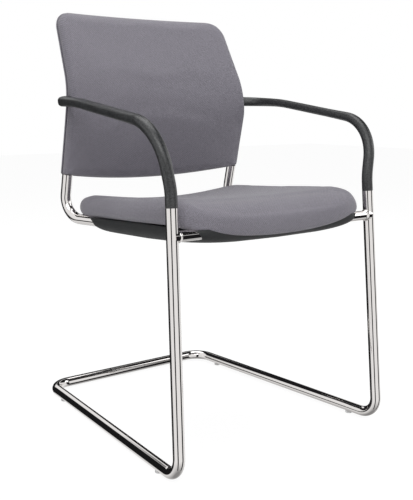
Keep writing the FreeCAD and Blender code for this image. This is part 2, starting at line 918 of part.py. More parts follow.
def arm_sections():
    """Place, heading, half-width and half-height of the cover along the armrest's centre line."""
    root = (tube_radius, tube_radius)
    pad = (arm_pad_half_width, arm_pad_half_height)
    end = (arm_end_half_width, arm_end_half_height)
    # The size at the start of each straight run or bend, in order, and at the end of the last one
    sizes = [root, root, root, root, pad, pad, pad, pad, end, end]
    sections = []
    edges = arm_edges()
    for index, edge in enumerate(edges):
        count = max(2, round(edge.Length / arm_section_step))
        last = index == len(edges) - 1
        for step in range(count + last):
            share = step / count
            at = edge.FirstParameter + (edge.LastParameter - edge.FirstParameter) * share
            size = [a + (b - a) * share for a, b in zip(sizes[index], sizes[index + 1])]
            sections.append((edge.valueAt(at), edge.tangentAt(at), size))
    return sections


def arm_cover():
    """Moulded cover of the left armrest: round at the leg, flat and wide along the top."""
    wires = []
    side = X
    for place, heading, size in arm_sections():
        side = unit(side - heading * side.dot(heading))
        wires.append(oval(place, heading, side, *size))
    cover = Part.makeLoft(wires, True, True)
    bore = swept(arm_edges(), core_radius + core_clearance)
    return largest(cover.cut(back_envelope(layer_gap)).cut(bore))


def arm_lock_screws():
    """Grub screws behind the legs that hold the armrests' plugs."""
    lock = lock_screw_place()
    outer = lock + Y * tube_radius
    return both(rod(outer - Y * lock_screw_length, outer, lock_screw_radius))


def arm_end_screws():
    """Screws inside the backrest that draw the cores into their sockets."""
    tip = arm_points()[-1]
    seat = tip - X * arm_socket_wall
    head = rod(seat - X * arm_screw_head_height, seat, arm_screw_head_radius)
    shank = rod(seat, tip + X * arm_screw_bite, arm_screw_radius)
    return both(fused(head, shank))


def build():
    front, rear = glide_places()
    left_tube = back_tube()
    left_cover = arm_cover()
    left_core = arm_core()
    return {
        "frame_tube": frame_tube(),
        "front_cross_tube": front_cross_tube(),
        "back_tube_left": left_tube,
        "back_tube_right": mirrored(left_tube),
        "rear_cross_bar": rear_cross_bar(),
        "seat_tabs": seat_tabs(),
        "front_glides": both(glide(front)),
        "rear_glides": both(glide(rear)),
        "seat_pan": seat_pan(),
        "seat_tee_nuts": tee_nuts(),
        "seat_screws": seat_screws(),
        "seat_shell": seat_shell(),
        "shell_screws": shell_screws(),
        "seat_cover": seat_cover(),
        "seat_foam": seat_foam(),
        "back_frame": back_frame(),
        "back_foam": back_foam(),
        "back_cover": back_cover(),
        "back_rear_panel": back_rear_panel(),
        "rear_panel_clips": rear_panel_clips(),
        "back_lock_screws": back_lock_screws(),
        "arm_core_left": left_core,
        "arm_core_right": mirrored(left_core),
        "arm_cover_left": left_cover,
        "arm_cover_right": mirrored(left_cover),
        "arm_lock_screws": arm_lock_screws(),
        "arm_end_screws": arm_end_screws(),
    }


os.makedirs("parts", exist_ok=True)
for node, shape in build().items():
    shape.exportStep("parts/" + node + ".step")
    print(node, len(shape.Solids), "solids", round(shape.Volume / 1000, 1), "cm3", shape.isValid())
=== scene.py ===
import json
import math

import bmesh
import bpy
import numpy as np
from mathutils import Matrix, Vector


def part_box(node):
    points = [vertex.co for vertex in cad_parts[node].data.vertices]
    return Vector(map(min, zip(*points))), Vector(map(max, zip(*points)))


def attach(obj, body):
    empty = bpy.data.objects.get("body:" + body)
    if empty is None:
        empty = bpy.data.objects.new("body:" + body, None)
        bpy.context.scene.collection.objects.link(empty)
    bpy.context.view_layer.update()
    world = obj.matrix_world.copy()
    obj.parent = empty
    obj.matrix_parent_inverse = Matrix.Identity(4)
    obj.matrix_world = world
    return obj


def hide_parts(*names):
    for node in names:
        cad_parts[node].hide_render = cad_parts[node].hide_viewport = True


bl_info = {
    "name": "Cantilever visitor chair",
    "version": (1, 0, 0),
    "blender": (4, 5, 0),
    "location": "3D View > Sidebar > Chair",
    "description": "Dresses the packed frame of a cantilever visitor chair",
    "category": "Add Mesh",
}

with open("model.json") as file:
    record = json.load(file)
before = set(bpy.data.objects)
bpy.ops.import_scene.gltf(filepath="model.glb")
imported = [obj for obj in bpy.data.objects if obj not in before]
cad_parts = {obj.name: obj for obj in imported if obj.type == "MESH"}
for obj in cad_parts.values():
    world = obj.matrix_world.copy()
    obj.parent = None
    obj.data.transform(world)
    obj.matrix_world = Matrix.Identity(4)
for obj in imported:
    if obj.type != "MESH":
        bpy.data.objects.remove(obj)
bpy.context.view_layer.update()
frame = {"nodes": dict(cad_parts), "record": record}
FLOOR_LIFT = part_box("frame_tube")[0].z
LEG_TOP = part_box("frame_tube")[1].z
BODY = "root"
X_AXIS = np.array([1.0, 0.0, 0.0])
Y_AXIS = np.array([0.0, 1.0, 0.0])
# Spacing along straight runs, points in a bend and points around, for the chromed tubes
TUBE_SPACING = 0.02
TUBE_BEND_STEPS = 40
TUBE_RING = 56
# The cushions' swell: pressure, frames that it works for and the furthest that a point may move
SWELL_PRESSURE = 1.2
SWELL_FRAMES = 18
SWELL_LIMIT = 0.002
# Span of a noise's values over which a roughness goes from its low to its high value
NOISE_SPAN = (0.3, 0.7)
WHITE = (1.0, 1.0, 1.0, 1.0)
# Studio walls that the chrome mirrors: bearing from +Y towards +X, then height, both in degrees
DARK_FLAGS = ((-44.0, 46.0, -27.0, 62.0), (-141.0, -120.0, -60.0, 14.0), (122.0, 150.0, -60.0, 14.0),
              (-58.0, -44.0, -23.0, -8.0), (52.0, 168.0, 19.0, 74.0))
BRIGHT_BOXES = ((-9.0, 27.0, 20.0, 36.0),)
FLAG_BLUR = 2.0
FLAG_COLOUR = (0.012, 0.012, 0.013, 1.0)
# The mirrored ground greys from the upper to the lower of these heights in degrees, to this value
GROUND_SPAN = (-70.0, -24.0)
GROUND_SHADE = 0.30
SOFT_LIGHT = 0.42
FLOOR_REACH = 9.0
FLOOR_GLOW = 1.19
FLOOR_GLOW_SHARE = 0.74
# Soft boxes: name, place, the point that it faces, edge length and power
LAMPS = (
    ("key_light", (-1.7, -2.0, 2.3), (0.0, 0.0, 0.55), 1.9, 34.0),
    ("fill_light", (2.3, -1.4, 1.7), (0.0, 0.0, 0.5), 1.6, 16.0),
    ("top_light", (0.1, 0.4, 2.9), (0.0, 0.0, 0.3), 2.2, 30.0),
)
PHOTO_WIDTH_PX = 413
PHOTO_FOCAL_PX = 815.7
CAMERA_PLACE = (-1.0243, -1.4096, 0.6701)
CAMERA_DIP = math.radians(10.122)
CAMERA_TURN = math.radians(36.627)


def length(name, default, about):
    """A size in metres that a user may change."""
    return bpy.props.FloatProperty(name=name, description=about, default=default, unit="LENGTH", precision=4)


def angle(name, default, about):
    """An angle in degrees as written here, shown as an angle."""
    value = math.radians(default)
    return bpy.props.FloatProperty(name=name, description=about, default=value, subtype="ANGLE")


def ratio(name, default, about):
    """A plain number that a user may change."""
    return bpy.props.FloatProperty(name=name, description=about, default=default)


def colour(name, default, about):
    """A linear colour that a user may change."""
    return bpy.props.FloatVectorProperty(
        name=name, description=about, default=default, size=3, min=0.0, max=1.0, subtype="COLOR"
    )


class ChairFrameSizes(bpy.types.PropertyGroup):
    """Sizes of the chromed tubes, on their centre lines."""

    tube_radius: length("Tube radius", 0.011, "Outer radius of the sled and back tubes")
    cross_radius: length("Cross tube radius", 0.010, "Outer radius of the tube between the legs")
    foot_half_width: length("Foot half-width", 0.256, "Half the width between the front feet")
    rear_half_width: length("Rear half-width", 0.216, "Half the width of the rear bar's corners")
    sled_depth: length("Sled depth", 0.590, "From the rear bar to the front feet")
    foot_bend: length("Foot bend", 0.038, "Bend radius at the front feet")
    rear_bend: length("Rear bend", 0.045, "Bend radius at the rear corners")
    leg_lean: ratio("Leg lean", 0.076, "Rearward lean of the legs per height")
    leg_top_half_width: length("Leg top half-width", 0.2445, "Half the width between the legs' tops")
    cross_height: length("Cross tube height", 0.445, "Height of the tube between the legs")
    upright_half_width: length("Upright half-width", 0.2225, "Half the width between the uprights")
    upright_bend: length("Upright bend", 0.042, "Bend radius below the uprights")
    upright_top: length("Upright top", 0.524, "Height at which the uprights end inside the backrest")
    rail_height: length("Rail height", 0.429, "Height of the rails behind the seat")
    rail_bend: length("Rail bend", 0.600, "Radius of the rails' slight upward bend")
    rail_front_half_width: length("Rail front half-width", 0.115, "Half the width between the rails' fronts")
    tab_thickness: length("Tab thickness", 0.003, "Plate between the rails and the seat pan")


class ChairSeatSizes(bpy.types.PropertyGroup):
    """Sizes of the seat cushion and the shell below it, in the seat's tilted frame."""

    tilt: angle("Seat tilt", 3.4, "Backward tilt of the seat")
    half_width: length("Seat half-width", 0.222, "Half the cushion's greatest width")
    rear_narrowing: length("Rear narrowing", 0.009, "How much narrower each side is at the rear")
    front: length("Seat front", -0.290, "Front of the cushion")
    rear: length("Seat rear", 0.174, "Rear of the cushion")
    front_bow: length("Front bow", 0.017, "How far the front edge falls back at its corners")
    rear_bow: length("Rear bow", 0.014, "How far the rear edge comes forward at its corners")
    corner: length("Corner radius", 0.046, "Corner radius of the cushion in plan")
    ridge: length("Ridge height", 0.048, "Height of the cushion along its side edges")
    dish: length("Dish", 0.018, "Depth of the seat's hollow below its side edges")
    edge_round: length("Edge rounding", 0.028, "Rounding of the cushion's upper edge")
    nose_round: length("Nose rounding", 0.044, "Rounding of the cushion's front edge")
    nose_drop: length("Nose drop", 0.031, "How far the front edge rolls down below the pan")
    shell_half_width: length("Shell half-width", 0.212, "Half the width of the under-shell's rim")
    shell_front: length("Shell front", -0.281, "Front of the under-shell's rim")
    shell_rear: length("Shell rear", 0.094, "Rear of the under-shell's rim")
    shell_sweep: length("Shell sweep", 0.046, "How far the rear of the rim is swept back")
    shell_rim_drop: length("Shell rim drop", 0.008, "How much lower the rim is at the front corners")
    shell_corner_lift: length("Shell corner lift", 0.016, "How much shallower the front corners are")
    shell_depth: length("Shell depth", 0.034, "Depth of the under-shell")
    shell_side: length("Shell side", 0.044, "Width of the under-shell's rounded side")
    shell_wall: length("Shell wall", 0.0025, "Thickness of the under-shell")


class ChairBackSizes(bpy.types.PropertyGroup):
    """Sizes of the backrest: outline, side profile and layers."""

    half_width: length("Half-width", 0.234, "Half the width of the lower backrest")
    taper_start: length("Taper start", 0.650, "Height from which the backrest narrows")
    taper: ratio("Taper", 0.085, "Narrowing of each side per height")
    bottom: length("Bottom", 0.503, "Lowest point of the bottom edge, at its middle")
    bottom_rise: length("Bottom rise", 0.0185, "How much higher the bottom edge is at its ends")
    top: length("Top", 0.864, "Height of the top edge")
    top_corner: length("Top corner", 0.036, "Corner radius at the top")
    bottom_corner: length("Bottom corner", 0.006, "Corner radius at the bottom")
    sag: length("Hollow", 0.028, "Depth of the backrest's hollow in plan")
    lumbar_y: length("Lumbar place", 0.127, "Place of the lumbar corner in depth")
    lumbar_height: length("Lumbar height", 0.6886, "Height of the lumbar corner")
    lumbar_radius: length("Lumbar radius", 0.150, "Radius of the lumbar bend")
    lower_lean: angle("Lower lean", 13.5, "Forward lean of the lower part")
    upper_recline: angle("Upper recline", 25.2, "Recline of the upper part")
    front: length("Front", -0.016, "Front of the cushion from the middle of the thickness")
    parting: length("Parting", 0.0055, "Where the front cover meets the rear panel")
    rear: length("Rear", 0.018, "Rear of the panel from the middle of the thickness")
    seam: length("Seam", 0.0012, "Gap at the parting")
    crown: length("Crown", 0.009, "Swell of the cushion at its middle")
    edge_round: length("Edge rounding", 0.012, "Rounding of the sides and top")
    bottom_round: length("Bottom rounding", 0.007, "Rounding of the bottom edge")


class ChairArmSizes(bpy.types.PropertyGroup):
    """Sizes of the armrests, on their centre lines."""

    half_width: length("Half-width", 0.263, "Half the width between the armrests")
    height: length("Height", 0.669, "Height of the run at the middle of the chair")
    rise: ratio("Rise", 0.138, "Upward slope of the run to the rear")
    end_height: length("End height", 0.677, "Height of the rear end")
    end_offset: length("End offset", 0.006, "Rear end behind the middle of the backrest's edge")
    end_depth: length("End depth", 0.026, "How far the rear end reaches past its turn")
    pad_half_width: length("Pad half-width", 0.012, "Half the width of the run")
    pad_half_height: length("Pad half-height", 0.0088, "Half the height of the run")
    end_half_width: length("End half-width", 0.0105, "Half the width of the rear end")
    end_half_height: length("End half-height", 0.0106, "Half the height of the rear end")
    squareness: ratio("Squareness", 2.9, "2 is an oval run, more a rounded box")
    straight: length("Straight", 0.030, "Straight length above the leg")
    flare_bend: length("Flare bend", 0.150, "Bend radius of the flare above the leg")
    knee_bend: length("Knee bend", 0.092, "Bend radius at the front of the armrest")
    crest: length("Crest", 0.035, "Depth at which the run begins to level out")
    crest_bend: length("Crest bend", 0.550, "Bend radius where the run levels out")
    turn: length("Turn", 0.060, "Bend radius of the turn into the backrest")


class ChairFinishes(bpy.types.PropertyGroup):
    """Colours of the chair and of the studio."""

    chrome: colour("Chrome", (0.76, 0.735, 0.72), "Tint of the chromed tubes")
    fabric: colour("Fabric", (0.140, 0.132, 0.156), "Yarn of the upholstery")
    fabric_light: colour("Fabric light", (0.290, 0.276, 0.318), "Lighter yarn of the upholstery")
    plastic: colour("Arm plastic", (0.022, 0.023, 0.024), "Moulded armrests")
    shell: colour("Shell plastic", (0.016, 0.017, 0.018), "Under-shell")
    steel: colour("Steel", (0.42, 0.42, 0.43), "Screws, bars and tabs")
    plywood: colour("Plywood", (0.52, 0.36, 0.20), "Seat pan")
    glide: colour("Glide", (0.80, 0.80, 0.80), "Floor glides")
    floor: colour("Floor", (0.80, 0.80, 0.80), "Studio floor")


# Numpy surfaces


def unit(vectors):
    """Vectors divided by their length."""
    return vectors / np.linalg.norm(vectors, axis=-1, keepdims=True)


def rounded_path(corners, radii, spacing, arc_steps):
    """Points and headings along straight runs joined by tangent arcs.

    With runs a and b leaving a corner and half the angle between them h, the arc starts radius / tan(h)
    along a, and its centre lies radius / sin(h) along the bisector. Points turn about that centre.
    """
    corners = np.array(corners, float)
    points = []
    headings = []
    start = corners[0]
    for k in range(1, len(corners)):
        heading = unit(corners[k] - corners[k - 1])
        stop = corners[k]
        if k <= len(radii):
            ahead = unit(corners[k + 1] - corners[k])
            half = math.acos(np.clip(-heading @ ahead, -1.0, 1.0)) / 2
            stop = corners[k] - heading * radii[k - 1] / math.tan(half)
        count = max(2, int(np.linalg.norm(stop - start) / spacing))
        run = np.linspace(0.0, 1.0, count)[:, None]
        points.append(start + run * (stop - start))
        headings.append(np.repeat(heading[None], count, axis=0))
        if k <= len(radii):
            centre = corners[k] + unit(ahead - heading) * radii[k - 1] / math.sin(half)
            arm = (stop - centre) / radii[k - 1]
            turn = np.linspace(0.0, math.pi - 2 * half, arc_steps)[1:-1, None]
            points.append(centre + radii[k - 1] * (np.cos(turn) * arm + np.sin(turn) * heading))
            headings.append(-np.sin(turn) * arm + np.cos(turn) * heading)
            start = corners[k] + ahead * radii[k - 1] / math.tan(half)
    return np.concatenate(points), np.concatenate(headings)


def carried_oval(points, headings, widths, heights, side, ring, square=2.0):
    """An oval carried along a path, square to its heading.

    Each ring's side axis is the last one less its share along the heading, made unit, so the tube doesn't
    twist. A ring's points are side * width * c + up * height * s about the path, with c and s the cosine and
    sine of t raised to 2 / square with their signs kept: 2 gives an ellipse, more a rounded box.
    """
    sides = np.empty_like(points)
    for row, heading in enumerate(headings):
        side = unit(side - heading * (side @ heading))
        sides[row] = side
    ups = np.cross(headings, sides)
    t = np.linspace(0.0, 2 * math.pi, ring, endpoint=False)
    power = 2 / np.reshape(square, (-1, 1))
    c = np.sign(np.cos(t)) * np.abs(np.cos(t)) ** power
    s = np.sign(np.sin(t)) * np.abs(np.sin(t)) ** power
    across = c[:, :, None] * sides[:, None] * np.reshape(widths, (-1, 1, 1))
    over = s[:, :, None] * ups[:, None] * np.reshape(heights, (-1, 1, 1))
    return points[:, None] + across + over


def path_shares(points):
    """Distance along a path of points as a share of its whole length."""
    steps = np.linalg.norm(np.diff(points, axis=0), axis=1)
    run = np.concatenate([[0.0], np.cumsum(steps)])
    return run / run[-1]


def smooth_step(low, high, values):
    """0 below low, 1 above high, and 3t^2 - 2t^3 between them."""
    t = np.clip((values - low) / (high - low), 0.0, 1.0)
    return t * t * (3 - 2 * t)


def quarter_round(depth, radius):
    """Height of a quarter circle of unit height at a depth from its foot: sqrt(1 - (1 - d / r)^2)."""
    t = np.clip(depth / radius, 0.0, 1.0)
    return np.sqrt(np.maximum(0.0, 1.0 - (1.0 - t) ** 2))


def edge_spread(count):
    """Values from -1 to 1 that crowd towards both ends: a blend of t and sin(pi t / 2)."""
    even = 0.35
    t = np.linspace(-1.0, 1.0, count)
    return even * t + (1 - even) * np.sin(math.pi * t / 2)


def grid_quads(rows, columns, first=0, wrap=False):
    """Corner indices of the quads of a grid whose points count up along its rows."""
    index = first + np.arange(rows * columns).reshape(rows, columns)
    ahead = np.roll(index, -1, axis=1) if wrap else index[:, 1:]
    here = index if wrap else index[:, :-1]
    quads = np.stack([here[:-1], ahead[:-1], ahead[1:], here[1:]], axis=-1)
    return quads.reshape(-1, 4)


def vertex_places(mesh):
    """A mesh's points as rows of x, y and z."""
    places = np.empty(len(mesh.vertices) * 3)
    mesh.vertices.foreach_get("co", places)
    return places.reshape(-1, 3)


def new_piece(name, points, faces, weave=None):
    """A mesh object from points and faces, its doubles merged and its faces turned outwards.

    weave gives each point's place on the cloth in metres, kept as the mesh's UV map.
    """
    mesh = bpy.data.meshes.new(name)
    mesh.from_pydata(np.asarray(points).tolist(), [], [list(map(int, face)) for face in faces])
    if weave is not None:
        layer = mesh.uv_layers.new(name="weave")
        corners = np.empty(len(mesh.loops), np.int32)
        mesh.loops.foreach_get("vertex_index", corners)
        layer.data.foreach_set("uv", np.asarray(weave, np.float32)[corners].ravel())
    work = bmesh.new()
    work.from_mesh(mesh)
    bmesh.ops.remove_doubles(work, verts=work.verts, dist=1e-6)
    bmesh.ops.recalc_face_normals(work, faces=work.faces)
    work.to_mesh(mesh)
    work.free()
    mesh.polygons.foreach_set("use_smooth", np.ones(len(mesh.polygons), bool))
    mesh.set_sharp_from_angle(angle=math.radians(60.0))
    return linked(name, mesh)


def linked(name, data):
    """An object around a mesh, light or camera, put into the scene."""
    made = bpy.data.objects.new(name, data)
    bpy.context.scene.collection.objects.link(made)
    return made


def tube_piece(name, rings):
    """A closed tube over rings of points, with a fan of triangles over each end."""
    rows, ring = rings.shape[:2]
    ends = np.stack([rings[0].mean(axis=0), rings[-1].mean(axis=0)])
    points = np.concatenate([rings.reshape(-1, 3), ends])
    faces = grid_quads(rows, ring, wrap=True).tolist()
    around = np.arange(ring)
    first = np.stack([np.full(ring, rows * ring), np.roll(around, -1), around], axis=-1)
    last_row = (rows - 1) * ring + around
    last = np.stack([np.full(ring, rows * ring + 1), last_row, np.roll(last_row, -1)], axis=-1)
    return new_piece(name, points, faces + first.tolist() + last.tolist())


def round_tube(name, corners, bends, radius):
    """A round tube through corners, with a bend of each radius at the inner ones."""
    points, headings = rounded_path(corners, bends, TUBE_SPACING, TUBE_BEND_STEPS)
    return tube_piece(name, carried_oval(points, headings, radius, radius, X_AXIS, TUBE_RING))


def cloth_metres(sheet):
    """Each point's place on a sheet of cloth: the lengths along its row and along its column so far."""
    along = np.linalg.norm(np.diff(sheet, axis=1, prepend=sheet[:, :1]), axis=2).cumsum(axis=1)
    up = np.linalg.norm(np.diff(sheet, axis=0, prepend=sheet[:1]), axis=2).cumsum(axis=0)
    middle = sheet.shape[1] // 2
    return np.stack([along - along[:, middle:middle + 1], up], axis=-1)


def pillow_piece(name, upper, lower):
    """Two sheets on the same grid, sewn along their shared border into one closed form."""
    rows, columns = upper.shape[:2]
    points = np.concatenate([upper.reshape(-1, 3), lower.reshape(-1, 3)])
    faces = np.concatenate([grid_quads(rows, columns), grid_quads(rows, columns, rows * columns)[:, ::-1]])
    weave = np.concatenate([cloth_metres(upper).reshape(-1, 2), cloth_metres(lower).reshape(-1, 2)])
    return new_piece(name, points, faces, weave)


def mirrored_piece(name, source):
    """A copy of a piece on the other side of the chair: x changes sign and every face is turned."""
    mesh = source.data.copy()
    mesh.name = name
    mesh.vertices.foreach_set("co", (vertex_places(mesh) * (-1.0, 1.0, 1.0)).ravel())
    mesh.flip_normals()
    return linked(name, mesh)


def fit_piece(piece, material, slot, *nodes):
    """Gives a piece its material, puts it on the chair and hides the nodes it stands for; slot is not used.
    """
    piece.data.materials.clear()
    piece.data.materials.append(material)
    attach(piece, BODY)
    if nodes:
        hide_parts(*nodes)
    return piece


def finer(piece):
    """Adds one level of subdivision."""
    smooth = piece.modifiers.new("finer", "SUBSURF")
    smooth.levels = 1
    smooth.render_levels = 1


def plump(piece, held):
    """Blows a closed cushion up with Cloth, holds the points in held, caps the swell and applies it."""
    rest = vertex_places(piece.data)
    group = piece.vertex_groups.new(name="held")
    group.add([int(i) for i in np.flatnonzero(held)], 1.0, "REPLACE")
    cloth = piece.modifiers.new("swell", "CLOTH")
    cloth.settings.quality = 6
    cloth.settings.mass = 0.3
    cloth.settings.tension_stiffness = 25.0
    cloth.settings.compression_stiffness = 25.0
    cloth.settings.shear_stiffness = 12.0
    cloth.settings.bending_stiffness = 2.0
    cloth.settings.use_pressure = True
    cloth.settings.uniform_pressure_force = SWELL_PRESSURE
    cloth.settings.vertex_group_mass = group.name
    cloth.settings.effector_weights.gravity = 0.0
    cloth.point_cache.frame_start = 1
    cloth.point_cache.frame_end = SWELL_FRAMES
    scene = bpy.context.scene
    for number in range(1, SWELL_FRAMES + 1):
        scene.frame_set(number)
    shown = piece.evaluated_get(bpy.context.evaluated_depsgraph_get()).to_mesh()
    swollen = vertex_places(shown)
    piece.modifiers.remove(cloth)
    piece.vertex_groups.remove(group)
    shift = swollen - rest
    far = np.linalg.norm(shift, axis=1, keepdims=True)
    shift *= np.minimum(1.0, SWELL_LIMIT / np.maximum(far, 1e-9))
    piece.data.vertices.foreach_set("co", (rest + shift).ravel())
    piece.data.update()
    scene.frame_set(1)


# Places on the chair


def floor_height(sizes):
    """Height of the sled's centre line."""
    return FLOOR_LIFT + sizes.tube_radius


def sled_ends(sizes):
    """Depth of the front and of the rear of the sled, set so that the chair's box is centred."""
    turn = math.pi / 2 + math.atan(sizes.leg_lean)
    rear = (sizes.sled_depth - sizes.foot_bend * (math.tan(turn / 2) - 1)) / 2
    return rear - sizes.sled_depth, rear


def leg_axis(sizes, height):
    """Point on the left leg's centre line at a height."""
    low = floor_height(sizes)
    share = (height - low) / (LEG_TOP - low)
    x = sizes.foot_half_width + share * (sizes.leg_top_half_width - sizes.foot_half_width)
    return np.array([x, sled_ends(sizes)[0] + sizes.leg_lean * (height - low), height])


def seat_height(sizes, seat):
    """Height of the pan's underside at the middle of the chair: one tab above the cross tube."""
    rest = (sizes.cross_radius + sizes.tab_thickness) / math.cos(seat.tilt)
    return sizes.cross_height + rest + leg_axis(sizes, sizes.cross_height)[1] * math.tan(seat.tilt)


def seat_place(sizes, seat, points):
    """Points of the seat's tilted frame, turned by the tilt about X and lifted to the seat."""
    points = np.asarray(points, float)
    turn = math.cos(seat.tilt), math.sin(seat.tilt)
    y = points[..., 1] * turn[0] + points[..., 2] * turn[1]
    z = seat_height(sizes, seat) - points[..., 1] * turn[1] + points[..., 2] * turn[0]
    return np.stack([points[..., 0], y, z], axis=-1)


def seat_depth(sizes, seat, point):
    """Depth in the seat's tilted frame of a point on the chair: the turn of seat_place undone."""
    lift = point[2] - seat_height(sizes, seat)
    return point[1] * math.cos(seat.tilt) - lift * math.sin(seat.tilt)


def back_edge(back, height):
    """Depth of the middle of the backrest's thickness at its sides: two straight runs and an arc."""
    low, high = back.lower_lean, back.upper_recline
    half = (low + high) / 2
    reach = back.lumbar_radius * math.tan(half)
    way = unit(np.array([math.sin(low) + math.sin(high), math.cos(high) - math.cos(low)]))
    centre = np.array([back.lumbar_y, back.lumbar_height]) + way * back.lumbar_radius / math.cos(half)
    height = np.asarray(height, float)
    below = back.lumbar_y + math.tan(low) * (back.lumbar_height - height)
    above = back.lumbar_y + math.tan(high) * (height - back.lumbar_height)
    bend = centre[0] - np.sqrt(np.maximum(0.0, back.lumbar_radius ** 2 - (height - centre[1]) ** 2))
    lower = height < back.lumbar_height - reach * math.cos(low)
    upper = height > back.lumbar_height + reach * math.cos(high)
    return np.where(lower, below, np.where(upper, above, bend))


def upright_axis(sizes, back, height):
    """Point on the left upright's centre line at a height."""
    y = back.lumbar_y + math.tan(back.lower_lean) * (back.lumbar_height - height)
    return np.array([sizes.upright_half_width, y, height])


def arm_path(sizes, back, arm):
    """Points and headings of the left armrest's centre line, from the leg to inside the backrest."""
    front = sled_ends(sizes)[0]
    low = floor_height(sizes)
    knee_y = (front + sizes.leg_lean * (arm.height - low)) / (1 - sizes.leg_lean * arm.rise)
    knee = [arm.half_width, knee_y, arm.height + arm.rise * knee_y]
    crest = [arm.half_width, arm.crest, arm.height + arm.rise * arm.crest]
    end = [arm.half_width, float(back_edge(back, arm.end_height)) + arm.end_offset, arm.end_height]
    tip = [arm.half_width - arm.turn - arm.end_depth, end[1], end[2]]
    corners = [leg_axis(sizes, LEG_TOP), leg_axis(sizes, LEG_TOP + arm.straight), knee, crest, end, tip]
    bends = [arm.flare_bend, arm.knee_bend, arm.crest_bend, arm.turn]
    return rounded_path(corners, bends, spacing=0.006, arc_steps=28)


# Materials


class NodeTree:
    """Short ways to add and join the nodes of a material or of the world."""

    def __init__(self, tree):
        self.tree = tree

    def node(self, kind, **values):
        """Adds a node and sets its properties."""
        made = self.tree.nodes.new("ShaderNode" + kind)
        for field, value in values.items():
            setattr(made, field, value)
        return made

    def join(self, source, target):
        """Links an output to an input."""
        self.tree.links.new(source, target)

    def maths(self, operation, first, second=0.0):
        """A Math node over sockets or plain numbers."""
        made = self.node("Math", operation=operation)
        for socket, value in zip(made.inputs, (first, second)):
            if isinstance(value, (int, float)):
                socket.default_value = value
            else:
                self.join(value, socket)
        return made.outputs[0]

    def map_range(self, value, start, stop, low=0.0, high=1.0):
        """A value that goes from low to high as the given one goes from start to stop."""
        made = self.node("MapRange")
        ends = {"From Min": start, "From Max": stop, "To Min": low, "To Max": high}
        for socket, end in ends.items():
            made.inputs[socket].default_value = end
        self.join(value, made.inputs["Value"])
        return made.outputs["Result"]

    def blend(self, share, first, second):
        """A mix of two shaders."""
        made = self.node("MixShader")
        for socket, source in zip(made.inputs, (share, first, second)):
            self.join(source, socket)
        return made.outputs["Shader"]


class Finish(NodeTree):
    """A material with a Principled shader."""

    def __init__(self, name):
        self.material = bpy.data.materials.new(name)
        self.material.use_nodes = True
        super().__init__(self.material.node_tree)
        self.shader = self.tree.nodes["Principled BSDF"]

    def set(self, **values):
        """Sets the shader's own sockets: roughness, metallic and so on."""
        for socket, value in values.items():
            self.shader.inputs[socket.replace("_", " ").title()].default_value = value

    def noise(self, scale, detail, rough=0.55, stretch=None):
        """Noise on the piece's own coordinates, which a stretch scales along each axis."""
        place = self.node("TexCoord").outputs["Object"]
        if stretch:
            mapping = self.node("Mapping")
            mapping.inputs["Scale"].default_value = stretch
            self.join(place, mapping.inputs["Vector"])
            place = mapping.outputs["Vector"]
        made = self.node("TexNoise")
        made.inputs["Scale"].default_value = scale
        made.inputs["Detail"].default_value = detail
        made.inputs["Roughness"].default_value = rough
        self.join(place, made.inputs["Vector"])
        return made.outputs["Fac"]

    def paint(self, factor, dark, light, low=0.0, high=1.0):
        """Base colour on a ramp from a dark to a light colour."""
        made = self.node("ValToRGB")
        for element, place, rgb in zip(made.color_ramp.elements, (low, high), (dark, light)):
            element.position = place
            element.color = (*rgb, 1.0)
        self.join(factor, made.inputs["Fac"])
        self.join(made.outputs["Color"], self.shader.inputs["Base Color"])

    def gloss(self, factor, low, high):
        """Roughness from low to high over the middle of a noise's values."""
        self.join(self.map_range(factor, *NOISE_SPAN, low, high), self.shader.inputs["Roughness"])

    def bump(self, height, strength, distance):
        """Fine relief on the shader's normal."""
        made = self.node("Bump")
        made.inputs["Strength"].default_value = strength
        made.inputs["Distance"].default_value = distance
        self.join(height, made.inputs["Height"])
        self.join(made.outputs["Normal"], self.shader.inputs["Normal"])


def shaded(rgb, share):
    """A colour made darker or lighter by a share."""
    return tuple(min(1.0, part * share) for part in rgb)


def chrome_finish(looks):
    """Bright chrome with faint wiping haze."""
    finish = Finish("bright_chrome")
    finish.set(metallic=1.0)
    haze = finish.noise(26.0, 5.0)
    finish.gloss(haze, 0.035, 0.085)
    finish.paint(haze, shaded(looks.chrome, 0.96), shaded(looks.chrome, 1.04))
    return finish.material


def fabric_finish(looks):
    """Plain-weave upholstery: a dotted weave in the cloth's own metres, mottled yarn and a soft sheen.

    The weave is sin(2 pi u / pitch) * sin(2 pi v / pitch) over the cloth's UV map.
    """
    pitch = 0.0042
    dot_share, cloud_share, yarn_relief = 0.26, 0.25, 1.6
    finish = Finish("grey_weave")
    finish.set(roughness=0.88, sheen_weight=0.28, sheen_roughness=0.45)
    parts = finish.node("SeparateXYZ")
    finish.join(finish.node("TexCoord").outputs["UV"], parts.inputs[0])
    turns = 2 * math.pi / pitch
    warp = finish.maths("SINE", finish.maths("MULTIPLY", parts.outputs["X"], turns))
    weft = finish.maths("SINE", finish.maths("MULTIPLY", parts.outputs["Y"], turns))
    dots = finish.maths("MULTIPLY", warp, weft)
    yarn = finish.noise(420.0, 3.0)
    cloud = finish.noise(7.0, 3.0)
    mottle = finish.maths("ADD", finish.maths("MULTIPLY", dots, dot_share), yarn)
    mottle = finish.maths("ADD", mottle, finish.maths("MULTIPLY", cloud, cloud_share))
    finish.paint(mottle, looks.fabric, looks.fabric_light, 0.25, 1.05)
    finish.bump(finish.maths("ADD", dots, finish.maths("MULTIPLY", yarn, yarn_relief)), 0.45, 0.0005)
    return finish.material


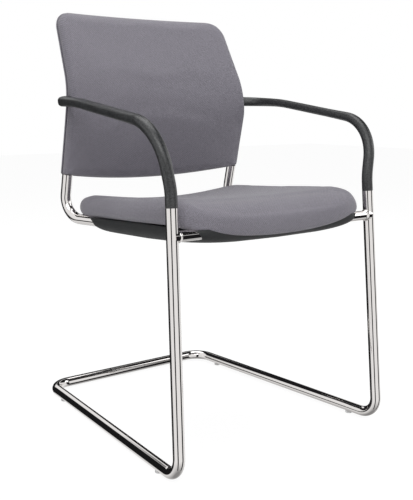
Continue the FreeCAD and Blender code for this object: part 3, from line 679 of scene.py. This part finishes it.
def arm_finish(looks):
    """Black moulded plastic with a fine grain."""
    finish = Finish("grained_black_plastic")
    finish.set(coat_weight=0.12, coat_roughness=0.35)
    grain = finish.noise(340.0, 6.0, rough=0.75)
    finish.gloss(finish.noise(38.0, 4.0), 0.3, 0.42)
    finish.paint(grain, shaded(looks.plastic, 0.15), shaded(looks.plastic, 3.2), 0.36, 0.72)
    finish.bump(grain, 0.4, 0.0006)
    return finish.material


def shell_finish(looks):
    """Matt black plastic with a finer spark-eroded grain."""
    finish = Finish("matt_black_shell")
    grain = finish.noise(620.0, 3.0)
    finish.gloss(finish.noise(14.0, 3.0), 0.55, 0.68)
    finish.paint(grain, shaded(looks.shell, 0.75), shaded(looks.shell, 1.6), 0.3, 0.75)
    finish.bump(grain, 0.3, 0.0004)
    return finish.material


def steel_finish(looks):
    """Zinc-plated steel, drawn fine along one way."""
    finish = Finish("plated_steel")
    finish.set(metallic=1.0)
    lines = finish.noise(1.0, 3.0, rough=0.5, stretch=(900.0, 60.0, 900.0))
    finish.gloss(lines, 0.28, 0.42)
    finish.paint(lines, shaded(looks.steel, 0.85), shaded(looks.steel, 1.15))
    return finish.material


def plywood_finish(looks):
    """Birch plywood: long grain across the pan and thin plies at its edge."""
    finish = Finish("birch_plywood")
    finish.set(roughness=0.6)
    grain = finish.noise(1.0, 5.0, rough=0.5, stretch=(8.0, 140.0, 620.0))
    finish.paint(grain, shaded(looks.plywood, 0.7), shaded(looks.plywood, 1.1))
    finish.bump(grain, 0.2, 0.0003)
    return finish.material


def glide_finish(looks):
    """Pale nylon, scuffed."""
    finish = Finish("pale_nylon")
    scuffs = finish.noise(160.0, 5.0)
    finish.gloss(scuffs, 0.4, 0.65)
    finish.paint(scuffs, shaded(looks.glide, 0.7), shaded(looks.glide, 1.5))
    return finish.material


def finish_named(maker):
    """The material that a maker makes, made once."""
    kept = bpy.context.scene.get("chair_finish_names", {})
    name = kept.get(maker.__name__)
    if name is None:
        name = maker(bpy.context.scene.chair_finishes).name
        bpy.context.scene["chair_finish_names"] = {**dict(kept), maker.__name__: name}
    return bpy.data.materials[name]


# Pieces


class CHAIR_OT_tubes(bpy.types.Operator):
    """Chromed sled, cross tube and back tubes as smooth bent tubes"""

    bl_idname = "chair.tubes"
    bl_label = "Chromed tubes"

    def execute(self, context):
        sizes = context.scene.chair_frame
        seat = context.scene.chair_seat
        back = context.scene.chair_back
        chrome = finish_named(chrome_finish)
        fit_piece(self.sled(sizes), chrome, "chrome_tube", "frame_tube")
        fit_piece(self.cross_tube(sizes), chrome, "chrome_tube", "front_cross_tube")
        left = fit_piece(self.back_tube(sizes, seat, back), chrome, "chrome_tube", "back_tube_left")
        right = mirrored_piece("back_tube_bent_right", left)
        fit_piece(right, chrome, "chrome_tube", "back_tube_right")
        return {"FINISHED"}

    def sled(self, sizes):
        """One tube from leg to leg: down, along the runner, across the rear and back."""
        low = floor_height(sizes)
        front, rear = sled_ends(sizes)
        foot = [sizes.foot_half_width, front, low]
        left = [leg_axis(sizes, LEG_TOP), foot, [sizes.rear_half_width, rear, low]]
        right = [[-x, y, z] for x, y, z in reversed(left)]
        bends = [sizes.foot_bend, sizes.rear_bend, sizes.rear_bend, sizes.foot_bend]
        return round_tube("sled_tube", left + right, bends, sizes.tube_radius)

    def cross_tube(self, sizes):
        """A straight tube from leg to leg, with a low weld bead at each end.

        The bead's radius swells by a half sine over the last few millimetres before the leg.
        """
        fine_end, bead_length, bead_height, leg_share, ring = 0.03, 0.006, 0.0022, 0.82, 48
        end = leg_axis(sizes, sizes.cross_height)
        last = np.linspace(end[0] - fine_end, end[0], 40)
        x = np.concatenate([-last[::-1], last])
        points = np.stack([x, np.full_like(x, end[1]), np.full_like(x, end[2])], axis=-1)
        headings = np.repeat(X_AXIS[None], len(x), axis=0)
        gap = end[0] - np.abs(x) - sizes.tube_radius * leg_share
        bead = np.clip(1 - gap / bead_length, 0.0, 1.0)
        radius = sizes.cross_radius + bead_height * np.sin(bead * math.pi / 2)
        return tube_piece("cross_tube", carried_oval(points, headings, radius, radius, Y_AXIS, ring))

    def back_tube(self, sizes, seat, back):
        """Upright, bend and rail of the left side, ending at the cross tube."""
        drop = -(sizes.tube_radius + sizes.tab_thickness)
        front_y = seat_depth(sizes, seat, leg_axis(sizes, sizes.cross_height))
        rear = upright_axis(sizes, back, sizes.rail_height)
        rear_y = seat_depth(sizes, seat, rear)
        knee_lift = seat_height(sizes, seat) + drop * math.cos(seat.tilt) - sizes.rail_height
        knee_y = knee_lift / math.sin(seat.tilt)
        share = (rear_y - knee_y) / (rear_y - front_y)
        knee_x = sizes.upright_half_width + share * (sizes.rail_front_half_width - sizes.upright_half_width)
        knee = seat_place(sizes, seat, [knee_x, knee_y, drop])
        front = seat_place(sizes, seat, [sizes.rail_front_half_width, front_y, drop])
        corners = [upright_axis(sizes, back, sizes.upright_top), rear, knee, front]
        bends = [sizes.upright_bend, sizes.rail_bend]
        return round_tube("back_tube_bent_left", corners, bends, sizes.tube_radius)


class CHAIR_OT_armrests(bpy.types.Operator):
    """Black moulded armrests, round at the legs and flatter along the top"""

    bl_idname = "chair.armrests"
    bl_label = "Armrests"

    def execute(self, context):
        sizes = context.scene.chair_frame
        back = context.scene.chair_back
        arm = context.scene.chair_arms
        plastic = finish_named(arm_finish)
        left = fit_piece(self.armrest(sizes, back, arm), plastic, "black_plastic", "arm_cover_left")
        right = mirrored_piece("armrest_right", left)
        fit_piece(right, plastic, "black_plastic", "arm_cover_right")
        return {"FINISHED"}

    def armrest(self, sizes, back, arm):
        """An oval carried along the armrest, whose two half-sizes ease from the leg to the run to the end."""
        points, headings = arm_path(sizes, back, arm)
        share = path_shares(points)
        run = smooth_step(0.16, 0.46, share)
        end = smooth_step(0.72, 0.92, share)
        widths = sizes.tube_radius + run * (arm.pad_half_width - sizes.tube_radius)
        widths = widths + end * (arm.end_half_width - arm.pad_half_width)
        heights = sizes.tube_radius + run * (arm.pad_half_height - sizes.tube_radius)
        heights = heights + end * (arm.end_half_height - arm.pad_half_height)
        oval, kept_at_end, ring = 2.0, 0.5, 72
        square = oval + (arm.squareness - oval) * run * (1 - (1 - kept_at_end) * end)
        rings = carried_oval(points, headings, widths, heights, X_AXIS, ring, square)
        return tube_piece("armrest_left", rings)


class CHAIR_OT_seat_shell(bpy.types.Operator):
    """Black bowl-shaped shell under the seat"""

    bl_idname = "chair.seat_shell"
    bl_label = "Seat shell"

    def execute(self, context):
        sizes = context.scene.chair_frame
        seat = context.scene.chair_seat
        piece = self.shell(sizes, seat)
        wall = piece.modifiers.new("wall", "SOLIDIFY")
        wall.thickness = seat.shell_wall
        wall.offset = -1.0
        fit_piece(piece, finish_named(shell_finish), "black_plastic", "seat_shell")
        return {"FINISHED"}

    def shell(self, sizes, seat):
        """A bowl on rings of a rounded rectangle.

        A ring at share r of the outline lies at depth D * (1 - s^3)^(1/3), where s grows from 0 to 1 over
        the rounded side and D is the shell's depth, a little deeper at the front. The rim is swept back at
        the rear, so the rear end is a long slope, and the shell is shallower at its front corners.
        """
        squareness, front_deeper, ring = 12.0, 0.004, 240
        t = np.linspace(0.0, 2 * math.pi, ring, endpoint=False)
        power = 2 / squareness
        half_x = seat.shell_half_width
        half_y = (seat.shell_rear - seat.shell_front) / 2
        middle = (seat.shell_rear + seat.shell_front) / 2
        rim_x = half_x * np.sign(np.cos(t)) * np.abs(np.cos(t)) ** power
        rim_y = half_y * np.sign(np.sin(t)) * np.abs(np.sin(t)) ** power
        side = np.sin(np.linspace(0.0, math.pi / 2, 24))
        flat = np.linspace(0.02, 1.0, 10)[:-1]
        inner = 1 - seat.shell_side / half_y
        shares = np.concatenate([flat * inner, inner + (1 - inner) * side])
        falls = np.concatenate([np.ones(len(flat)), np.maximum(0.0, 1 - side ** 3) ** (1 / 3)])
        x = shares[:, None] * rim_x[None]
        y = shares[:, None] * rim_y[None]
        sweep = seat.shell_sweep * (1 - falls[:, None]) * np.clip(y / half_y, 0.0, 1.0) ** 2
        y = middle + y + sweep
        depth = seat.shell_depth + front_deeper * (middle - y) / half_y
        to_corner = np.abs(x / half_x) ** 3 * np.clip((middle - y) / half_y, 0.0, 1.0) ** 2
        depth = depth - seat.shell_corner_lift * to_corner
        rim = -seat.shell_rim_drop * to_corner
        rings = np.stack([x, y, rim - falls[:, None] * (depth + rim)], axis=-1)
        rows = len(rings)
        points = np.concatenate([rings.reshape(-1, 3), [[0.0, middle, rings[0, :, 2].mean()]]])
        faces = grid_quads(rows, ring, wrap=True).tolist()
        around = np.arange(ring)
        faces += np.stack([np.full(ring, rows * ring), around, np.roll(around, -1)], axis=-1).tolist()
        return new_piece("under_shell", seat_place(sizes, seat, points), faces)


class CHAIR_OT_seat_cushion(bpy.types.Operator):
    """Upholstered seat: dished, with plump sides and a rolled front, swollen by cloth"""

    bl_idname = "chair.seat_cushion"
    bl_label = "Seat cushion"

    def execute(self, context):
        sizes = context.scene.chair_frame
        seat = context.scene.chair_seat
        piece, held = self.cushion(sizes, seat)
        plump(piece, held)
        finer(piece)
        fit_piece(piece, finish_named(fabric_finish), "grey_fabric", "seat_cover", "seat_foam")
        return {"FINISHED"}

    def cushion(self, sizes, seat):
        """Two sheets over one plan, sewn along a seam that runs round the side and dips under the nose.

        In plan x = W(y) * u, with W drawn in by a quarter circle at the corners, and y runs from a bowed
        front edge to a bowed rear edge. The upper sheet rises from the seam by a quarter round near the
        border and carries the dish D * (1 - u^2); the lower sheet falls to the pan the same way.
        """
        corner_share = 0.62
        seam_height, seam_dip, seam_middle_dip = 0.019, 0.013, 0.010
        front_dish, more_dish = 0.34, 0.76
        front_fall, rear_fall = 0.010, 0.006
        corner_flat, corner_power = 0.9, 2.2
        lower_round, front_round, more_round = 0.017, 0.018, 0.024
        held_level = 0.006
        u, v = np.meshgrid(edge_spread(86), edge_spread(80))
        share = (v + 1) / 2
        front = seat.front + seat.front_bow * np.abs(u) ** 6
        rear = seat.rear - seat.rear_bow * np.abs(u) ** 3
        y = front + share * (rear - front)
        span = seat.rear - seat.front
        from_end = np.minimum(share, 1 - share) * span
        half = seat.half_width - seat.rear_narrowing * smooth_step(0.35, 1.0, share)
        half = half - seat.corner * (1 - quarter_round(from_end, seat.corner)) * corner_share
        x = half * u
        from_side = half - np.abs(x)
        roll = seat.edge_round + (seat.nose_round - seat.edge_round) * (1 - smooth_step(0.3, 0.6, share))
        rise = quarter_round(from_side, seat.edge_round) * quarter_round(from_end, roll)
        nose = 1 - smooth_step(0.0, 0.17, share)
        seam = seam_height - nose * (seam_dip + seam_middle_dip * (1 - u ** 2))
        dish = seat.dish * (1 - u ** 2) * (front_dish + more_dish * smooth_step(0.04, 0.75, share))
        ridge = seat.ridge - front_fall * (1 - smooth_step(0.0, 0.16, share))
        ridge = ridge - rear_fall * smooth_step(0.86, 1.0, share)
        top = seam + (ridge - dish - seam) * rise
        base = -seat.nose_drop * nose * (1 - corner_flat * np.abs(u) ** corner_power)
        end_round = front_round + more_round * smooth_step(0.4, 0.6, share)
        fall = quarter_round(from_side, lower_round) * quarter_round(from_end, end_round)
        low = seam + (base - seam) * fall
        upper = seat_place(sizes, seat, np.stack([x, y, top], axis=-1))
        lower = seat_place(sizes, seat, np.stack([x, y, low], axis=-1))
        piece = pillow_piece("seat_cushion", upper, lower)
        places = vertex_places(piece.data)
        level = (places[:, 2] - seat_height(sizes, seat)) + places[:, 1] * math.tan(seat.tilt)
        return piece, level < held_level


class CHAIR_OT_backrest(bpy.types.Operator):
    """Upholstered backrest: front cushion swollen by cloth, and the panel behind it"""

    bl_idname = "chair.backrest"
    bl_label = "Backrest"

    def execute(self, context):
        back = context.scene.chair_back
        fabric = finish_named(fabric_finish)
        cushion = self.layer("back_cushion", back, back.front, back.parting, back.crown)
        held_band = 0.004
        places = vertex_places(cushion.data)
        hollow = back.sag * (1 - (places[:, 0] / back.half_width) ** 2)
        offset = places[:, 1] - back_edge(back, places[:, 2]) - hollow
        plump(cushion, offset > back.parting - held_band)
        panel = self.layer("back_panel", back, back.parting + back.seam, back.rear, 0.0)
        fit_piece(cushion, fabric, "grey_fabric", "back_cover", "back_foam")
        fit_piece(panel, fabric, "grey_fabric", "back_rear_panel")
        finer(cushion)
        finer(panel)
        return {"FINISHED"}

    def layer(self, name, back, front, rear, crown):
        """Two sheets over the backrest's outline, sewn along its border.

        Heights run from the arched bottom edge to the top, and x = W(z) * u, with W drawn in by quarter
        circles at the corners. Depth is the edge's side profile plus the hollow S * (1 - (x / W)^2), plus
        the sheet's offset times a quarter round near the border; the front sheet also swells by its crown.
        """
        u, v = np.meshgrid(edge_spread(90), edge_spread(70))
        share = (v + 1) / 2
        bottom = back.bottom + back.bottom_rise * np.abs(u) ** 2
        z = bottom + share * (back.top - bottom)
        half = back.half_width - back.taper * np.maximum(0.0, z - back.taper_start)
        above = back.top - z
        below = z - bottom
        half = half - back.top_corner * (1 - quarter_round(above, back.top_corner))
        half = half - back.bottom_corner * (1 - quarter_round(below, back.bottom_corner))
        x = half * u
        from_side = half - np.abs(x)
        rise = quarter_round(from_side, back.edge_round)
        rise = rise * quarter_round(above, back.edge_round) * quarter_round(below, back.bottom_round)
        hollow = back.sag * (1 - (x / back.half_width) ** 2)
        middle = min(max(0.0, front), rear)
        swell = crown * (1 - u ** 2) * (1 - v ** 2) ** 0.5
        depth = back_edge(back, z) + hollow
        near = depth + middle + (front - middle - swell) * rise
        far = depth + middle + (rear - middle) * rise
        return pillow_piece(name, np.stack([x, near, z], axis=-1), np.stack([x, far, z], axis=-1))


class CHAIR_OT_fittings(bpy.types.Operator):
    """Finishes for the pieces that keep their own shape"""

    bl_idname = "chair.fittings"
    bl_label = "Fittings"

    def execute(self, context):
        by_slot = {
            "steel_parts": steel_finish,
            "black_plastic": shell_finish,
            "plywood": plywood_finish,
            "glide_plastic": glide_finish,
            "chrome_tube": chrome_finish,
            "grey_fabric": fabric_finish,
            "foam": shell_finish,
        }
        for part in frame["record"]["subparts"]:
            node = frame["nodes"][part["node"]]
            node.data.materials.clear()
            node.data.materials.append(finish_named(by_slot[part["material_slot"]]))
        return {"FINISHED"}


class CHAIR_OT_stage(bpy.types.Operator):
    """Pale floor, soft studio light and the camera at the photograph's angle"""

    bl_idname = "chair.stage"
    bl_label = "Stage"

    def execute(self, context):
        scene = context.scene
        scene.view_settings.view_transform = "Standard"
        self.floor(scene)
        self.world(scene)
        for lamp in LAMPS:
            self.lamp(*lamp)
        self.camera(scene)
        return {"FINISHED"}

    def floor(self, scene):
        """A wide floor that shows nearly white, with a part of the light it really gets, so shadows stay.

        It is kept out of mirror rays: the chrome mirrors the world's walls and ground instead.
        """
        corners = [(-1, -1), (1, -1), (1, 1), (-1, 1)]
        mesh = bpy.data.meshes.new("studio_floor")
        mesh.from_pydata([(FLOOR_REACH * x, FLOOR_REACH * y, 0) for x, y in corners], [], [(0, 1, 2, 3)])
        floor = linked("studio_floor", mesh)
        finish = Finish("pale_floor")
        finish.set(roughness=0.9)
        pale = scene.chair_finishes.floor
        finish.paint(finish.noise(3.0, 2.0), shaded(pale, 0.99), shaded(pale, 1.01))
        glow = finish.node("Emission")
        glow.inputs["Strength"].default_value = FLOOR_GLOW
        share = finish.maths("MULTIPLY", self.seen(finish), FLOOR_GLOW_SHARE)
        shown = finish.blend(share, finish.shader.outputs["BSDF"], glow.outputs["Emission"])
        finish.join(shown, finish.tree.nodes["Material Output"].inputs["Surface"])
        mesh.materials.append(finish.material)
        floor.visible_glossy = False

    def seen(self, finish):
        """1 for rays from the camera, mirror rays and rays through glass, else 0."""
        path = finish.node("LightPath")
        some = finish.maths("MAXIMUM", path.outputs["Is Camera Ray"], path.outputs["Is Glossy Ray"])
        return finish.maths("MAXIMUM", some, path.outputs["Is Transmission Ray"])

    def world(self, scene):
        """White to the camera and through glass, and dim for the soft light on the chair.

        Mirror rays see white walls with dark flags, and a ground that greys downwards.
        """
        world = bpy.data.worlds.new("studio")
        world.use_nodes = True
        scene.world = world
        nodes = NodeTree(world.node_tree)
        nodes.tree.nodes.clear()
        path = nodes.node("LightPath")
        parts = nodes.node("SeparateXYZ")
        nodes.join(nodes.node("TexCoord").outputs["Generated"], parts.inputs[0])
        bearing = nodes.maths("ARCTAN2", parts.outputs["X"], parts.outputs["Y"])
        lift = nodes.maths("ARCSINE", parts.outputs["Z"])
        dark = 0.0
        for patch in DARK_FLAGS:
            dark = nodes.maths("MAXIMUM", dark, self.patch(nodes, bearing, lift, *patch))
        for patch in BRIGHT_BOXES:
            held = nodes.maths("SUBTRACT", 1.0, self.patch(nodes, bearing, lift, *patch))
            dark = nodes.maths("MULTIPLY", dark, held)
        low, high = (math.radians(edge) for edge in GROUND_SPAN)
        mirrored = nodes.node("Mix", data_type="RGBA")
        nodes.join(dark, mirrored.inputs["Factor"])
        nodes.join(nodes.map_range(lift, low, high, GROUND_SHADE), mirrored.inputs["A"])
        mirrored.inputs["B"].default_value = FLAG_COLOUR
        dim, mirror, white = (nodes.node("Background") for _ in range(3))
        dim.inputs["Color"].default_value = WHITE
        dim.inputs["Strength"].default_value = SOFT_LIGHT
        nodes.join(mirrored.outputs["Result"], mirror.inputs["Color"])
        white.inputs["Color"].default_value = WHITE
        glossy = nodes.blend(path.outputs["Is Glossy Ray"], dim.outputs[0], mirror.outputs[0])
        straight = nodes.maths("MAXIMUM", path.outputs["Is Camera Ray"], path.outputs["Is Transmission Ray"])
        shown = nodes.blend(straight, glossy, white.outputs[0])
        nodes.join(shown, nodes.node("OutputWorld").inputs["Surface"])

    def patch(self, nodes, bearing, lift, left, right, low, high):
        """1 inside a patch of the studio's walls between two bearings and two heights in degrees, else 0."""
        inside = 1.0
        for value, edge, way in ((bearing, left, 1), (bearing, right, -1), (lift, low, 1), (lift, high, -1)):
            start, stop = math.radians(edge - way * FLAG_BLUR), math.radians(edge + way * FLAG_BLUR)
            inside = nodes.maths("MINIMUM", inside, nodes.map_range(value, start, stop))
        return inside

    def lamp(self, name, place, target, size, power):
        """A square soft box that faces a target."""
        light = bpy.data.lights.new(name, "AREA")
        light.shape = "SQUARE"
        light.size = size
        light.energy = power
        lamp = linked(name, light)
        lamp.location = place
        way = np.array(target) - np.array(place)
        tip = math.atan2(math.hypot(way[0], way[1]), -way[2])
        lamp.rotation_euler = (tip, 0.0, math.atan2(-way[0], way[1]))

    def camera(self, scene):
        """The photograph's view point, turn, downward look and focal length."""
        lens = bpy.data.cameras.new("photo_camera")
        lens.sensor_fit = "HORIZONTAL"
        lens.sensor_width = 36.0
        lens.lens = lens.sensor_width * PHOTO_FOCAL_PX / PHOTO_WIDTH_PX
        lens.clip_end = 60.0
        camera = linked("photo_camera", lens)
        camera.location = CAMERA_PLACE
        camera.rotation_euler = (math.pi / 2 - CAMERA_DIP, 0.0, -CAMERA_TURN)
        scene.camera = camera


class CHAIR_PT_panel(bpy.types.Panel):
    """Lists the chair's pieces in the sidebar"""

    bl_idname = "CHAIR_PT_panel"
    bl_label = "Cantilever visitor chair"
    bl_space_type = "VIEW_3D"
    bl_region_type = "UI"
    bl_category = "Chair"

    def draw(self, context):
        for operator in PIECES:
            self.layout.operator(operator.bl_idname)
        for group in SIZE_GROUPS:
            sizes = getattr(context.scene, group)
            for name in sizes.bl_rna.properties.keys():
                if name not in ("rna_type", "name"):
                    self.layout.prop(sizes, name)


PIECES = (CHAIR_OT_fittings, CHAIR_OT_tubes, CHAIR_OT_armrests, CHAIR_OT_seat_shell, CHAIR_OT_seat_cushion,
          CHAIR_OT_backrest, CHAIR_OT_stage)
SIZE_GROUPS = {
    "chair_frame": ChairFrameSizes,
    "chair_seat": ChairSeatSizes,
    "chair_back": ChairBackSizes,
    "chair_arms": ChairArmSizes,
    "chair_finishes": ChairFinishes,
}


def register():
    for group, sizes in SIZE_GROUPS.items():
        bpy.utils.register_class(sizes)
        setattr(bpy.types.Scene, group, bpy.props.PointerProperty(type=sizes))
    for operator in PIECES:
        bpy.utils.register_class(operator)
    bpy.utils.register_class(CHAIR_PT_panel)


def unregister():
    bpy.utils.unregister_class(CHAIR_PT_panel)
    for operator in reversed(PIECES):
        bpy.utils.unregister_class(operator)
    for group, sizes in SIZE_GROUPS.items():
        delattr(bpy.types.Scene, group)
        bpy.utils.unregister_class(sizes)


def main():
    """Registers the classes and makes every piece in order."""
    register()
    bpy.ops.chair.fittings()
    bpy.ops.chair.tubes()
    bpy.ops.chair.armrests()
    bpy.ops.chair.seat_shell()
    bpy.ops.chair.seat_cushion()
    bpy.ops.chair.backrest()
    bpy.ops.chair.stage()


if __name__ == "__main__":
    main()
